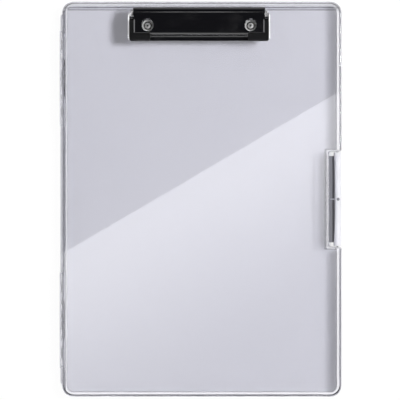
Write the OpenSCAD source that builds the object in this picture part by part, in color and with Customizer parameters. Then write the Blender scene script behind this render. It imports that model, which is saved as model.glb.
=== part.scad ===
// Clear storage clipboard box: a shallow tray and a hinged lid that is also the writing board.
// It lies flat: X runs from the hinges to the latch, Y towards the paper clip, Z is up from the table.

/* [Case] */
// Length of the case, along the hinges
case_l = 336; // [250:1:380]
// Width of the case, over the hinge knuckles
case_w = 240; // [200:1:300]
// Height of the tray's wall above the table
tray_h = 19; // [14:0.5:50]
// Height of the lid, from its lower edge to the top of its rim
lid_h = 7.7; // [7:0.1:12]
// Radius of the case's four corners, seen from above
corner_r = 9.5; // [8:0.5:16]
// Radius that softens the outer edges
edge_r = 1.2; // [0.6:0.1:1.5]
// Thickness of the tray's wall
wall_t = 2.2; // [1.8:0.1:2.6]
// Thickness of the tray's floor
floor_t = 2.2; // [1.6:0.1:3]

/* [Lid] */
// Thickness of the writing panel
panel_t = 2; // [1.6:0.1:3]
// Width of the raised rim round the panel
rim_w = 4.7; // [4.4:0.1:8]
// Width of the raised rim round the latch recess
notch_rim_w = 2; // [1.4:0.1:3.5]
// Height of the rim above the panel
rim_h = 1.2; // [0.9:0.1:2]
// Thickness of the lip that drops inside the tray
lip_t = 1.4; // [1:0.1:2]
// Depth of the lip below the top of the tray
lip_depth = 2.5; // [1.5:0.1:5]
// Gap between the lip and the tray's wall
lip_gap = 0.4; // [0.3:0.05:0.6]
// Gap between the lid and the tray where they meet
parting_gap = 0.3; // [0.2:0.05:0.6]

/* [Hinges] */
// Distance from each end of the case to the middle of the nearer hinge
hinge_inset = 65; // [62:0.5:75]
// Length of each hinge
hinge_l = 81.6; // [50:0.1:90]
// Length of each hinge's middle knuckle, which is the lid's
hinge_mid_l = 31; // [15:0.5:36]
// Diameter of the knuckles
knuckle_d = 4.6; // [4.4:0.1:5]
// Diameter of the hinge pins
hinge_pin_d = 2; // [1.5:0.1:2.4]
// Gap between neighbouring knuckles
knuckle_gap = 0.4; // [0.3:0.05:0.8]
// Length of the bore that each hinge pin leaves empty at its ends
hinge_pin_recess = 0.6; // [0.3:0.1:2]
// Length of each opening that the knuckle's mould leaves over the pin
window_l = 6.5; // [3:0.5:7]
// Width of those openings
window_w = 1.3; // [0.8:0.1:1.4]
// Distance from a knuckle's end to its opening
window_inset = 1.6; // [1:0.1:2.5]
// Height of the hinge side's ledge below the opened lid
ledge_gap = 0.3; // [0.3:0.1:1]

/* [Latch] */
// Length of the latch
latch_l = 79.6; // [50:0.1:100]
// Width of the latch, seen from above
latch_w = 6.3; // [5.4:0.1:8]
// Width of the finger slot between the latch and the lid
slot_w = 4.5; // [4.3:0.1:8]
// Thickness of the latch's walls
latch_t = 1.8; // [1.4:0.1:2.2]
// How far the latch's outer face stands back from the case's side
latch_set_back = 0.2; // [0.1:0.1:1]
// How far the latch's top lies below the lid's rim
latch_drop = 0.4; // [0.2:0.1:1]
// Gap at each end of the latch
latch_end_gap = 0.6; // [0.4:0.1:1]
// Diameter of the latch's hinge barrel
latch_barrel_d = 4.4; // [4.2:0.1:4.6]
// Diameter of the latch's pin
latch_pin_d = 1.8; // [1.5:0.1:2]
// Depth of the latch's pin in each side of the recess
latch_pin_seat = 1.8; // [1:0.1:1.8]
// Height of the latch's pin above the table
latch_pin_z = 3.2; // [2.9:0.1:4]
// Radius of the corners inside the latch recess
notch_r = 2.5; // [1.5:0.1:3]
// Radius of the corners at the recess's mouth
mouth_r = 2; // [1.6:0.1:2.2]
// Reach of the catch that runs along the lid's recess
catch_reach = 1.8; // [1.5:0.1:2.4]
// Thickness of that catch, and of the latch's hook above it
catch_t = 1.3; // [1:0.1:1.6]
// Gap between the hook and the catch
catch_gap = 0.3; // [0.3:0.05:0.6]
// Gap between the hook's edge and the back of the recess
hook_edge_gap = 0.6; // [0.4:0.1:1]
// How far the hook's two ends stand in from the latch's ends
hook_inset = 3; // [2.8:0.1:6]
// Thickness of the rib that stiffens the hook at its middle
hook_rib_t = 1; // [0.8:0.1:1.6]
// How far the latch's inner edge is hollowed at its middle, for the finger
bow_depth = 0.9; // [0.4:0.1:1.2]
// Radius of that edge
bow_edge_r = 1.2; // [0.6:0.1:1.5]
// Diameter of the round mark that the mould's gate leaves in the top of the latch
gate_d = 4; // [2.5:0.1:4.2]
// Depth of that mark
gate_depth = 0.4; // [0.2:0.1:0.8]
// Diameter of the stub in its middle
gate_stub_d = 1.4; // [0.8:0.1:2]

/* [Clip] */
// Length of the clip along the board's top edge
clip_l = 120.4; // [100:0.2:140]
// Distance of the clip's middle from the case's middle line, towards the hinges
clip_offset = 1.1; // [0:0.1:5]
// Gap between the clip's rear and the lid's rim
clip_rear_gap = 0.4; // [0.3:0.1:4]
// Depth of the clip from its front lip to its rear bend
clip_depth = 28.3; // [26:0.1:32]
// Height of the clip above the panel
clip_h = 10.4; // [10:0.1:12]
// Thickness of the jaw's steel
jaw_t = 1; // [0.8:0.1:1.2]
// Thickness of the base's steel
base_t = 1; // [0.8:0.1:1.2]
// Height of the base's side walls above the panel
base_wall_h = 8.8; // [8.4:0.1:9.6]
// Radius of the upper front corner of each side wall
base_corner_r = 2.5; // [1:0.1:4]
// How far the base ends in front of the jaw's rear
base_rear_gap = 1.2; // [0.8:0.1:2]
// How far the base's floor runs behind the clip's pin
base_tongue = 4.7; // [3:0.1:5]
// Depth of the slanted corner at the rear of each side wall, along the clip
base_slant_x = 4; // [3:0.1:5]
// Depth of that slanted corner across the clip
base_slant_y = 5.8; // [4:0.1:6.2]
// Outer radius of the jaw's rear bend
rear_bend_r = 5; // [4.5:0.1:5.2]
// Outer radius of the jaw's front bend
front_bend_r = 2.2; // [1.6:0.1:2.6]
// Inner radius of the bend that turns the jaw's lip forwards
foot_bend_r = 1.2; // [0.8:0.1:1.6]
// Length of the jaw's lip in front of its front wall
lip_l = 4.3; // [3.5:0.1:5]
// Gap under the jaw's lip when it is closed
jaw_gap = 0.3; // [0.3:0.05:1]
// Distance of the clip's pin from the rear of the jaw
clip_pin_back = 9.4; // [9:0.1:10]
// Height of the clip's pin above the panel
clip_pin_z = 5; // [4.9:0.1:5.2]
// Diameter of the clip's pin
clip_pin_d = 3; // [2.4:0.1:3.2]
// Radius of the jaw's ears round the pin
ear_r = 3.6; // [3:0.1:3.7]
// Gap between the jaw's side and the base's side wall, which the rubber corners fill
side_gap = 3.4; // [3:0.1:4]
// Length of the rubber corners along the clip
grip_l = 14.6; // [10:0.1:24]
// Length of the rubber corners' side arms, from the clip's front
grip_arm_l = 17.3; // [12:0.1:18]
// Height of the rubber corners above the jaw's plate
grip_rise = 0.5; // [0.3:0.1:0.8]
// Radius of the rubber corners' outer edges
grip_r = 1.4; // [0.8:0.1:1.6]

/* [Rivets] */
// Distance between the two rivets
rivet_spacing = 87.4; // [60:0.2:92]
// Distance of the rivets from the clip's front
rivet_front = 12.8; // [12.5:0.1:13.5]
// Diameter of the rivets' shank
rivet_d = 3.6; // [3:0.1:3.7]
// Diameter of the rivets' head
rivet_head_d = 10; // [9.4:0.1:10.1]
// Height of the rivets' head
rivet_head_h = 1.8; // [1.4:0.1:2.2]
// How much higher the head is in its middle than at its rim
rivet_dome = 0.4; // [0.2:0.1:0.6]
// Radius of the head's outer edge
rivet_edge_r = 0.5; // [0.3:0.1:0.6]
// Width of the rim between that edge and the round groove in the head
rivet_rim_w = 1; // [0.7:0.1:1.2]
// Radius of that groove's section
rivet_groove_r = 0.6; // [0.4:0.1:0.7]
// Radius of the dimple in the rivets' head
rivet_dimple_r = 0.9; // [0.5:0.1:1.2]
// Diameter of the rivets' rolled tail
rivet_tail_d = 7; // [5.5:0.1:8]
// Height of that tail
rivet_tail_h = 0.9; // [0.6:0.1:1.4]
// Diameter of the holes in the jaw over the rivets
access_d = 10.6; // [10.2:0.1:11]
// Diameter of the washers under the panel
washer_d = 12; // [10:0.1:14]
// Thickness of the washers
washer_t = 0.8; // [0.5:0.1:1.2]

/* [Springs] */
// Diameter of the spring wire
wire_d = 1.2; // [1:0.1:1.3]
// Mean diameter of the coils
coil_d = 5.4; // [5.1:0.1:5.5]
// Number of turns, before the legs take up a part of the last one
coil_turns = 6; // [4:1:8]
// Distance between the turns along the pin
coil_pitch = 1.4; // [1.35:0.05:2]
// Distance of each spring's inner end from the clip's middle
spring_x = 18; // [8:1:28]

/* [Fits] */
// Radial clearance of a pin that turns in its bore
running_gap = 0.05; // [0.03:0.01:0.08]
// Radial clearance round a knuckle that swings past a wall
swing_gap = 0.3; // [0.25:0.05:0.35]
// Distance of the hinge-side walls from the hinge axis
face_gap = 0.15; // [0.15:0.05:0.25]
// Clearance of the rivets in their holes
rivet_gap = 0.1; // [0.05:0.05:0.3]
// Clearance of the springs' ends from what they press on
leg_gap = 0.05; // [0.05:0.05:0.2]

/* [Hidden] */
$fn = 64;
past = 1;            // how far a cut runs past what it cuts
bow_facets = 24;     // facets along the latch's bowed edge
clear_plastic = [0.86, 0.88, 0.94, 0.4];
frosted_plastic = [0.93, 0.93, 0.96, 0.8];
nickel = [0.78, 0.78, 0.8];
black_steel = [0.07, 0.07, 0.08];
black_rubber = [0.13, 0.13, 0.14];

// Heights
lid_z = tray_h + parting_gap;             // the lid's lower edge
lid_top = lid_z + lid_h;
panel_top = lid_top - rim_h;
panel_z = panel_top - panel_t;            // the panel's underside
hinge_z = tray_h + parting_gap / 2;
ledge_h = 2 * hinge_z - lid_top - ledge_gap;

// Places along X and Y
side_x = case_w / 2;                      // the latch side's outer face
knuckle_r = knuckle_d / 2;
hinge_x = -case_w / 2 + knuckle_r;
hinge_side_x = hinge_x + face_gap;        // the hinge side's outer face
end_y = case_l / 2;
hinge_spacing = case_l - 2 * hinge_inset;
latch_out_x = side_x - latch_set_back;
latch_in_x = latch_out_x - latch_w;
notch_x = latch_in_x - slot_w;            // the recess's back, which the slot lies against
notch_y = latch_l / 2 + latch_end_gap;
lip_in = wall_t + lip_gap;                // the lip's outer face, from the case's outline
skirt_in = lip_in + lip_t;                // the lip's inner face

// Latch
latch_pin_x = latch_out_x - latch_barrel_d / 2;
latch_top = lid_top - latch_drop;
hook_z = lid_z + catch_t + catch_gap;
hook_top = hook_z + catch_t;
hook_x = notch_x + hook_edge_gap;
bow_x = latch_in_x + bow_depth;           // the middle of the latch's inner edge
bow_r = (latch_l * latch_l / 4 + bow_depth * bow_depth) / (2 * bow_depth);

// Clip
clip_x = -clip_offset;
clip_rear = end_y - rim_w - clip_rear_gap;
clip_front = clip_rear - clip_depth;
clip_pin_y = clip_rear - clip_pin_back;
clip_pin_up = panel_top + clip_pin_z;
base_out = clip_l / 2;                    // outer face of the base's side walls, from the clip's middle
jaw_out = base_out - base_t - side_gap;   // outer face of the jaw's sides
jaw_wall_y = clip_front + lip_l;          // front face of the jaw's front wall
jaw_top = panel_top + clip_h;
jaw_side_z = clip_pin_up - ear_r / 2;     // lower edge of the jaw's sides in front of the ears
rivet_y = clip_front + rivet_front;
floor_front = jaw_wall_y + front_bend_r + swing_gap;
floor_rear = clip_pin_y + base_tongue;
rivet_hole_r = rivet_d / 2 + rivet_gap;

// Outline of the case as corners [x, y, radius], counter-clockwise, moved in by inset.
// The recess for the latch moves in by its own amount, recess_inset.
function case_plan(inset, recess_inset) =
    let (
        in_n = is_undef(recess_inset) ? inset : recess_inset,
        left = hinge_side_x + inset, right = side_x - inset,
        end = end_y - inset, back = notch_x - in_n, mouth = notch_y + in_n,
        r = max(corner_r - inset, edge_r), r_mouth = max(mouth_r - in_n, 0), r_back = notch_r + in_n
    ) [
        [left, -end, r], [right, -end, r],
        [right, -mouth, r_mouth], [back, -mouth, r_back],
        [back, mouth, r_back], [right, mouth, r_mouth],
        [right, end, r], [left, end, r],
    ];

function point(corner) = [corner[0], corner[1]];
function next_of(plan, i) = plan[(i + 1) % len(plan)];
function heading(plan, i) =               // unit direction of the side that leaves corner i
    let (d = point(next_of(plan, i)) - point(plan[i])) d / norm(d);
function heading_in(plan, i) = heading(plan, (i + len(plan) - 1) % len(plan));
function turns_left(plan, i) = cross(heading_in(plan, i), heading(plan, i)) > 0;
function arc_centre(plan, i) = point(plan[i]) + plan[i][2] * (heading(plan, i) - heading_in(plan, i));
function right_of(d) = [d[1], -d[0]];
function angle_of(d) = atan2(d[1], d[0]);

// What lies between a square corner and the arc that rounds it
module corner_piece(plan, i) {
    p = point(plan[i]);
    c = arc_centre(plan, i);
    r = plan[i][2];
    if (r > 0)
        difference() {
            translate([min(p[0], c[0]), min(p[1], c[1])]) square(r);
            translate(c) circle(r);
        }
}

// The area inside a plan, with its corners rounded: left turns are cut back, right turns are filled
module plan_area(plan) {
    difference() {
        polygon([for (corner = plan) point(corner)]);
        for (i = [0 : len(plan) - 1]) if (turns_left(plan, i)) corner_piece(plan, i);
    }
    for (i = [0 : len(plan) - 1]) if (!turns_left(plan, i)) corner_piece(plan, i);
}

module slab(plan, z0, z1) {
    translate([0, 0, z0]) linear_extrude(z1 - z0) plan_area(plan);
}

// Sweeps a profile round a plan. The profile's x points out of the plan, and its y is the height.
module sweep_round(plan) {
    for (i = [0 : len(plan) - 1]) {
        along = heading(plan, i);
        start = point(plan[i]) + plan[i][2] * along;
        stop = point(next_of(plan, i)) - next_of(plan, i)[2] * along;
        translate([stop[0], stop[1], 0])
            rotate([90, 0, angle_of(right_of(along))])
                linear_extrude(norm(stop - start)) children();
        centre = arc_centre(plan, i);
        if (plan[i][2] > 0)
            translate([centre[0], centre[1], 0])
                if (turns_left(plan, i))
                    rotate(angle_of(right_of(heading_in(plan, i))))
                        rotate_extrude(angle = 90) translate([plan[i][2], 0]) children();
                else
                    rotate(angle_of(-right_of(along)))
                        rotate_extrude(angle = 90) translate([plan[i][2], 0]) mirror([1, 0]) children();
    }
}

// Profile that rounds an outer edge at height z: up is 1 for an upper edge and -1 for a lower one
module round_over(r, z, up) {
    translate([0, z]) scale_y(up)
        difference() {
            translate([-r, -r]) square([r + past, r + past]);
            translate([-r, -r]) circle(r);
        }
}

module scale_y(up) {
    mirror([0, up < 0 ? 1 : 0]) children();
}

// A cylinder along Y, centred on a point
module rod_y(r, length, x, y, z) {
    translate([x, y, z]) rotate([90, 0, 0]) cylinder(r = r, h = length, center = true);
}

// A cylinder along X, centred on a point
module rod_x(r, length, x, y, z) {
    translate([x, y, z]) rotate([0, 90, 0]) cylinder(r = r, h = length, center = true);
}

// Extrudes a profile drawn in Y and Z along X, between x0 and x1
module along_x(x0, x1) {
    translate([x0, 0, 0]) rotate([90, 0, 90]) linear_extrude(x1 - x0) children();
}

// Extrudes a profile drawn in X and Z along Y, centred on y = 0
module along_y(length) {
    translate([0, length / 2, 0]) rotate([90, 0, 0]) linear_extrude(length) children();
}

// ---- Hinges ----

side_knuckle_l = (hinge_l - hinge_mid_l) / 2 - knuckle_gap;
side_knuckle_y = hinge_l / 2 - side_knuckle_l / 2;
window_z = hinge_z + hinge_pin_d / 4;     // the openings' lower edge, on the pin's flank

module each_hinge() {
    for (side = [-1, 1]) translate([0, side * hinge_spacing / 2, 0]) children();
}

// One knuckle with its two openings over the pin, to be bored by knuckle_bore
module knuckle(length, y) {
    difference() {
        rod_y(knuckle_r, length, hinge_x, y, hinge_z);
        for (side = [-1, 1])
            translate([
                hinge_x - window_w / 2,
                y + side * (length / 2 - window_inset - window_l / 2) - window_l / 2,
                window_z,
            ]) cube([window_w, window_l, knuckle_r]);
    }
}

module knuckle_bore() {
    rod_y(hinge_pin_d / 2 + running_gap, hinge_l + past, hinge_x, 0, hinge_z);
}

module hinge_pin() {
    color(nickel) rod_y(hinge_pin_d / 2, hinge_l - 2 * hinge_pin_recess, hinge_x, 0, hinge_z);
}

// ---- Tray ----

module tray_shell() {
    difference() {
        slab(case_plan(0), 0, tray_h);
        slab(case_plan(wall_t), floor_t, tray_h + past);
        sweep_round(case_plan(0)) round_over(edge_r, 0, -1);
    }
}

// The ledge along the hinge side carries the lid when it lies open
module ledge() {
    length = case_l - 2 * corner_r;
    plan = [
        [-case_w / 2, -length / 2, knuckle_r], [hinge_side_x + wall_t / 2, -length / 2, 0],
        [hinge_side_x + wall_t / 2, length / 2, 0], [-case_w / 2, length / 2, knuckle_r],
    ];
    difference() {
        slab(plan, 0, ledge_h);
        translate([-case_w / 2, 0, 0]) along_y(length + past) {
            round_over_left(edge_r, 0, -1);
            round_over_left(edge_r, ledge_h, 1);
        }
    }
}

// round_over for an edge that faces -X
module round_over_left(r, z, up) {
    mirror([1, 0]) round_over(r, z, up);
}

module tray() {
    color(clear_plastic)
    difference() {
        union() {
            tray_shell();
            ledge();
            each_hinge() for (side = [-1, 1]) knuckle(side_knuckle_l, side * side_knuckle_y);
        }
        each_hinge() {
            knuckle_bore();
            rod_y(knuckle_r + swing_gap, hinge_mid_l + 2 * knuckle_gap, hinge_x, 0, hinge_z);
        }
        rod_y(latch_pin_d / 2 + running_gap, 2 * (notch_y + latch_pin_seat), latch_pin_x, 0, latch_pin_z);
    }
}

// ---- Lid ----

module lid_shell() {
    difference() {
        union() {
            slab(case_plan(0), lid_z, lid_top);
            slab(case_plan(lip_in), lid_z - lip_depth, lid_z);
        }
        slab(case_plan(skirt_in), lid_z - lip_depth - past, panel_z);
        slab(case_plan(rim_w, notch_rim_w), panel_top, lid_top + past);
        sweep_round(case_plan(0)) round_over(edge_r, lid_top, 1);
    }
}

// The catch that the latch's hook closes over
module lid_catch() {
    translate([notch_x - notch_rim_w, -notch_y, lid_z])
        cube([notch_rim_w + catch_reach, 2 * notch_y, catch_t]);
}

module lid() {
    color(clear_plastic)
    difference() {
        union() {
            lid_shell();
            lid_catch();
            each_hinge() knuckle(hinge_mid_l, 0);
        }
        each_hinge() {
            knuckle_bore();
            for (side = [-1, 1])
                rod_y(
                    knuckle_r + swing_gap, side_knuckle_l + 2 * knuckle_gap,
                    hinge_x, side * side_knuckle_y, hinge_z
                );
        }
        each_rivet() translate([0, 0, panel_z - past]) cylinder(r = rivet_hole_r, h = panel_t + 2 * past);
    }
}

// ---- Latch ----

// The latch's section: an upturned trough with a hook on its inner leg and a barrel at its foot
module latch_section() {
    difference() {
        union() {
            translate([latch_pin_x, latch_pin_z]) circle(d = latch_barrel_d);
            translate([latch_out_x - latch_t, latch_pin_z]) square([latch_t, latch_top - latch_pin_z]);
            translate([latch_in_x, latch_top - latch_t]) square([latch_w, latch_t]);
            translate([latch_in_x, hook_z]) square([bow_depth + latch_t, latch_top - hook_z]);
        }
        translate([latch_out_x, 0]) round_over(edge_r, latch_top, 1);
    }
}

module latch_hook_section() {
    translate([hook_x, hook_z]) square([bow_x - hook_x, catch_t]);
}

// The rib rises from the hook's edge to the latch's inner leg
module hook_rib_section() {
    foot_x = bow_x + latch_t / 2;
    polygon([[hook_x, hook_top], [foot_x, hook_top], [foot_x, latch_top - bow_edge_r]]);
}

// The cheeks close the trough at both ends
module latch_cheek_section() {
    difference() {
        polygon([
            [latch_in_x, latch_top], [latch_in_x, hook_z], [latch_pin_x, latch_pin_z],
            [latch_out_x, latch_pin_z], [latch_out_x, latch_top],
        ]);
        translate([latch_out_x, 0]) round_over(edge_r, latch_top, 1);
    }
}

// What the bow and its rounded edge take off the latch's inner side
module bow_cut() {
    span = 2 * asin((latch_l / 2 + past) / bow_r);
    translate([bow_x - bow_r, 0, 0]) rotate(-span / 2)
        rotate_extrude(angle = span, $fn = bow_facets * 360 / span) translate([bow_r, 0]) let ($fn = 64) {
            translate([-bow_depth - past, hook_top]) square([bow_depth + past, latch_top - hook_top + past]);
            round_over_left(bow_edge_r, latch_top, 1);
        }
}

// The round mark in the latch's top, with a tapered stub left standing in its middle
module gate_cut() {
    translate([(bow_x + latch_out_x) / 2, 0, latch_top - gate_depth]) difference() {
        cylinder(d = gate_d, h = gate_depth + past);
        cylinder(d1 = gate_stub_d, d2 = gate_stub_d / 2, h = gate_depth);
    }
}

module latch() {
    color(frosted_plastic)
    difference() {
        union() {
            difference() {
                union() {
                    along_y(latch_l) latch_section();
                    for (side = [-1, 1])
                        translate([0, side * (latch_l - latch_t) / 2, 0])
                            along_y(latch_t) latch_cheek_section();
                }
                bow_cut();
                gate_cut();
            }
            along_y(latch_l - 2 * hook_inset) latch_hook_section();
            along_y(hook_rib_t) hook_rib_section();
        }
        rod_y(latch_pin_d / 2 + running_gap, latch_l + past, latch_pin_x, 0, latch_pin_z);
    }
}

module latch_pin() {
    color(nickel) rod_y(latch_pin_d / 2, 2 * (notch_y + latch_pin_seat - leg_gap), latch_pin_x, 0, latch_pin_z);
}

// ---- Clip ----

module each_rivet() {
    for (side = [-1, 1]) translate([clip_x + side * rivet_spacing / 2, rivet_y, 0]) children();
}

// Half of the base's outline: its side wall runs straight back and then slants inwards
module base_half_area(inset) {
    rear = clip_rear - base_rear_gap;
    polygon([
        [0, clip_front + base_t + inset], [base_out - inset, clip_front + base_t + inset],
        [base_out - inset, rear - base_slant_y], [base_out - inset - base_slant_x, rear],
        [0, rear],
    ]);
}

// What rounds the upper front corner of the side walls, drawn in Y and Z
module base_corner_section() {
    front = clip_front + base_t;
    top = panel_top + base_wall_h;
    difference() {
        translate([front - past, top - base_corner_r]) square(base_corner_r + past);
        translate([front + base_corner_r, top - base_corner_r]) circle(base_corner_r);
    }
}

module both_halves() {
    translate([clip_x, 0, 0]) for (side = [0, 1]) mirror([side, 0, 0]) children();
}

module clip_base() {
    color(nickel)
    difference() {
        both_halves() {
            translate([0, 0, panel_top]) linear_extrude(base_t) difference() {
                base_half_area(0);
                translate([-past, floor_rear]) square([jaw_out + swing_gap + past, clip_depth]);
                translate([-past, floor_front - clip_depth]) square([base_out - base_t + past, clip_depth]);
            }
            translate([0, 0, panel_top]) linear_extrude(base_wall_h) difference() {
                base_half_area(0);
                translate([0, -past]) base_half_area(base_t);
                translate([0, past]) base_half_area(base_t);
                translate([-past, clip_front - past]) square([jaw_out + swing_gap + past, clip_depth + 2 * past]);
            }
        }
        along_x(clip_x - base_out - past, clip_x + base_out + past) base_corner_section();
        rod_x(clip_pin_d / 2 + running_gap, clip_l + past, clip_x, clip_pin_y, clip_pin_up);
        each_rivet() translate([0, 0, panel_top - past]) cylinder(r = rivet_hole_r, h = base_t + 2 * past);
    }
}

// A quarter of a ring of outer radius r about [y, z], in the quadrant that sy and sz point to
module quarter_ring(y, z, r, t, sy, sz) {
    intersection() {
        translate([y, z]) difference() {
            circle(r);
            circle(r - t);
        }
        translate([y + min(sy, 0) * r, z + min(sz, 0) * r]) square(r);
    }
}

// The jaw's section from its lip to its rear bend, as one folded strip
module jaw_section() {
    wall_y = jaw_wall_y;
    foot_z = panel_top + jaw_gap;
    foot_out = foot_bend_r + jaw_t;
    // lip, foot bend and front wall
    translate([clip_front, foot_z]) square([wall_y - foot_bend_r - clip_front, jaw_t]);
    quarter_ring(wall_y - foot_bend_r, foot_z + foot_out, foot_out, jaw_t, 1, -1);
    translate([wall_y, foot_z + foot_out]) square([jaw_t, jaw_top - front_bend_r - foot_z - foot_out]);
    // front bend, plate and rear bend
    quarter_ring(wall_y + front_bend_r, jaw_top - front_bend_r, front_bend_r, jaw_t, -1, 1);
    translate([wall_y + front_bend_r, jaw_top - jaw_t])
        square([clip_rear - rear_bend_r - wall_y - front_bend_r, jaw_t]);
    quarter_ring(clip_rear - rear_bend_r, jaw_top - rear_bend_r, rear_bend_r, jaw_t, 1, 1);
    translate([clip_rear - jaw_t, jaw_top - rear_bend_r - jaw_t]) square([jaw_t, jaw_t]);
}

// The jaw's side, which carries it on the pin
module jaw_side_section() {
    bend_y = clip_rear - rear_bend_r;
    front_y = jaw_wall_y + front_bend_r;
    translate([clip_pin_y, clip_pin_up]) circle(ear_r);
    translate([front_y, jaw_side_z]) square([clip_pin_y - front_y, jaw_top - jaw_side_z]);
    translate([clip_pin_y, jaw_top - rear_bend_r]) square([bend_y - clip_pin_y, rear_bend_r]);
    intersection() {
        translate([bend_y, jaw_top - rear_bend_r]) circle(rear_bend_r);
        translate([bend_y, jaw_top - rear_bend_r]) square(rear_bend_r);
    }
}

module clip_jaw() {
    color(black_steel)
    difference() {
        translate([clip_x, 0, 0]) union() {
            along_x(-jaw_out, jaw_out) jaw_section();
            along_x(-jaw_out, -jaw_out + jaw_t) jaw_side_section();
            along_x(jaw_out - jaw_t, jaw_out) jaw_side_section();
        }
        rod_x(clip_pin_d / 2 + running_gap, clip_l, clip_x, clip_pin_y, clip_pin_up);
        each_rivet() translate([0, 0, jaw_top - jaw_t - past]) cylinder(d = access_d, h = jaw_t + 2 * past);
    }
}

module clip_pin() {
    color(nickel) rod_x(clip_pin_d / 2, clip_l - 2 * leg_gap, clip_x, clip_pin_y, clip_pin_up);
}

// A rounded rectangle from corner a to corner b
module rounded_box_area(a, b, r) {
    plan_area([[a[0], a[1], r], [b[0], a[1], r], [b[0], b[1], r], [a[0], b[1], r]]);
}

// One rubber corner, on the side that X points to: an arm along the front and one back along the side
module grip(side) {
    out = base_out - base_t - swing_gap;
    inner = jaw_out + swing_gap - grip_l;
    top = jaw_top + grip_rise;
    front = clip_front - swing_gap;
    color(black_rubber)
    difference() {
        translate([clip_x, 0, 0]) mirror([side < 0 ? 1 : 0, 0, 0]) {
            intersection() {
                translate([0, 0, panel_top]) linear_extrude(clip_h + grip_rise)
                    rounded_box_area([inner, front], [out, jaw_wall_y + front_bend_r], grip_r);
                along_x(inner, out)
                    rounded_box_area([front, panel_top + jaw_gap], [jaw_wall_y + front_bend_r, top], grip_r);
            }
            intersection() {
                translate([0, 0, panel_top]) linear_extrude(clip_h + grip_rise)
                    rounded_box_area([jaw_out, front], [out, clip_front + grip_arm_l], grip_r);
                along_x(jaw_out, out)
                    rounded_box_area([front, clip_pin_up - ear_r], [clip_front + grip_arm_l, top], grip_r);
            }
        }
        clip_jaw();
        translate([clip_x, 0, 0]) along_x(-jaw_out + jaw_t, jaw_out - jaw_t)
            translate([jaw_wall_y + jaw_t, panel_top]) square([clip_depth, clip_h - jaw_t]);
    }
}

module clip_grip_left() { grip(-1); }

module clip_grip_right() { grip(1); }

// ---- Rivets ----

// Half of a rivet's section: a domed head with a round groove and a dimple, the shank, and the tail set
// under the washer
module rivet_section() {
    head_r = rivet_head_d / 2;
    seat = panel_top + base_t;
    tail = panel_z - washer_t;
    rim_z = seat + rivet_head_h - rivet_dome;
    dome_r = (head_r * head_r + rivet_dome * rivet_dome) / (2 * rivet_dome);
    difference() {
        intersection() {
            translate([0, rim_z + rivet_dome - dome_r]) circle(dome_r);
            union() {
                translate([0, seat]) square([head_r - rivet_edge_r, rivet_head_h]);
                translate([0, seat]) square([head_r, rim_z - rivet_edge_r - seat]);
                translate([head_r - rivet_edge_r, rim_z - rivet_edge_r]) circle(rivet_edge_r);
            }
        }
        translate([head_r - rivet_rim_w - rivet_groove_r, rim_z]) circle(rivet_groove_r);
        translate([0, rim_z + rivet_dome]) circle(rivet_dimple_r);
    }
    translate([0, tail - rivet_tail_h]) square([rivet_d / 2, seat - tail + rivet_tail_h]);
    translate([0, tail - rivet_tail_h]) square([rivet_tail_d / 2, rivet_tail_h]);
}

module clip_rivets() {
    color(nickel) each_rivet() rotate_extrude() rivet_section();
}

module rivet_washers() {
    color(nickel) each_rivet() translate([0, 0, panel_z - washer_t]) difference() {
        cylinder(d = washer_d, h = washer_t);
        translate([0, 0, -past]) cylinder(r = rivet_hole_r, h = washer_t + 2 * past);
    }
}

// ---- Springs ----

wire_sides = 8;
rings_per_turn = 16;
leg_up_angle = 105;                       // where the upper leg leaves the coil
leg_down_angle = -103;                    // where the lower leg leaves the coil

// A ring of the wire: its centre, and the two directions across it
function wire_ring(centre, across, side) = [
    for (k = [0 : wire_sides - 1])
        centre + wire_d / 2 * (cos(k * 360 / wire_sides) * across + sin(k * 360 / wire_sides) * side)
];

function coil_point(angle, x) = [x, coil_d / 2 * cos(angle), coil_d / 2 * sin(angle)];
function radial(angle) = [0, cos(angle), sin(angle)];
function onward(angle) = [0, -sin(angle), cos(angle)];

// A torsion spring on the pin, centred on the origin: both legs run to the rear, one up and one down
module torsion_spring() {
    upper_z = clip_h - jaw_t - wire_d / 2 - leg_gap - clip_pin_z;
    lower_z = base_t + wire_d / 2 + leg_gap - clip_pin_z;
    sweep = 360 * coil_turns + leg_down_angle - leg_up_angle;
    steps = round(sweep / 360 * rings_per_turn);
    start = coil_point(leg_up_angle, 0);
    stop = coil_point(leg_down_angle, sweep / 360 * coil_pitch);
    up_l = (upper_z - start[2]) / -onward(leg_up_angle)[2];
    down_l = (lower_z - stop[2]) / onward(leg_down_angle)[2];
    rings = concat(
        [wire_ring(start - up_l * onward(leg_up_angle), radial(leg_up_angle), [1, 0, 0])],
        [
            for (i = [0 : steps])
                let (a = leg_up_angle + sweep * i / steps)
                wire_ring(coil_point(a, coil_pitch * sweep * i / steps / 360), radial(a), [1, 0, 0])
        ],
        [wire_ring(stop + down_l * onward(leg_down_angle), radial(leg_down_angle), [1, 0, 0])]
    );
    n = wire_sides;
    last = len(rings) - 1;
    polyhedron(
        points = [for (ring = rings) each ring],
        faces = concat(
            [[for (k = [0 : n - 1]) k]],
            [
                for (i = [0 : last - 1], k = [0 : n - 1])
                    [i * n + k, (i + 1) * n + k, (i + 1) * n + (k + 1) % n, i * n + (k + 1) % n]
            ],
            [[for (k = [n - 1 : -1 : 0]) last * n + k]]
        )
    );
}

module clip_spring(side) {
    color(nickel) translate([clip_x, clip_pin_y, clip_pin_up])
        mirror([side < 0 ? 1 : 0, 0, 0]) translate([spring_x, 0, 0]) torsion_spring();
}

tray();
lid();
translate([0, hinge_spacing / 2, 0]) hinge_pin();  // hinge_pin_upper
translate([0, -hinge_spacing / 2, 0]) hinge_pin();  // hinge_pin_lower
latch();
latch_pin();
clip_base();
clip_jaw();
clip_pin();
clip_spring(-1);  // clip_spring_left
clip_spring(1);  // clip_spring_right
clip_grip_left();
clip_grip_right();
clip_rivets();
rivet_washers();
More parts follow.
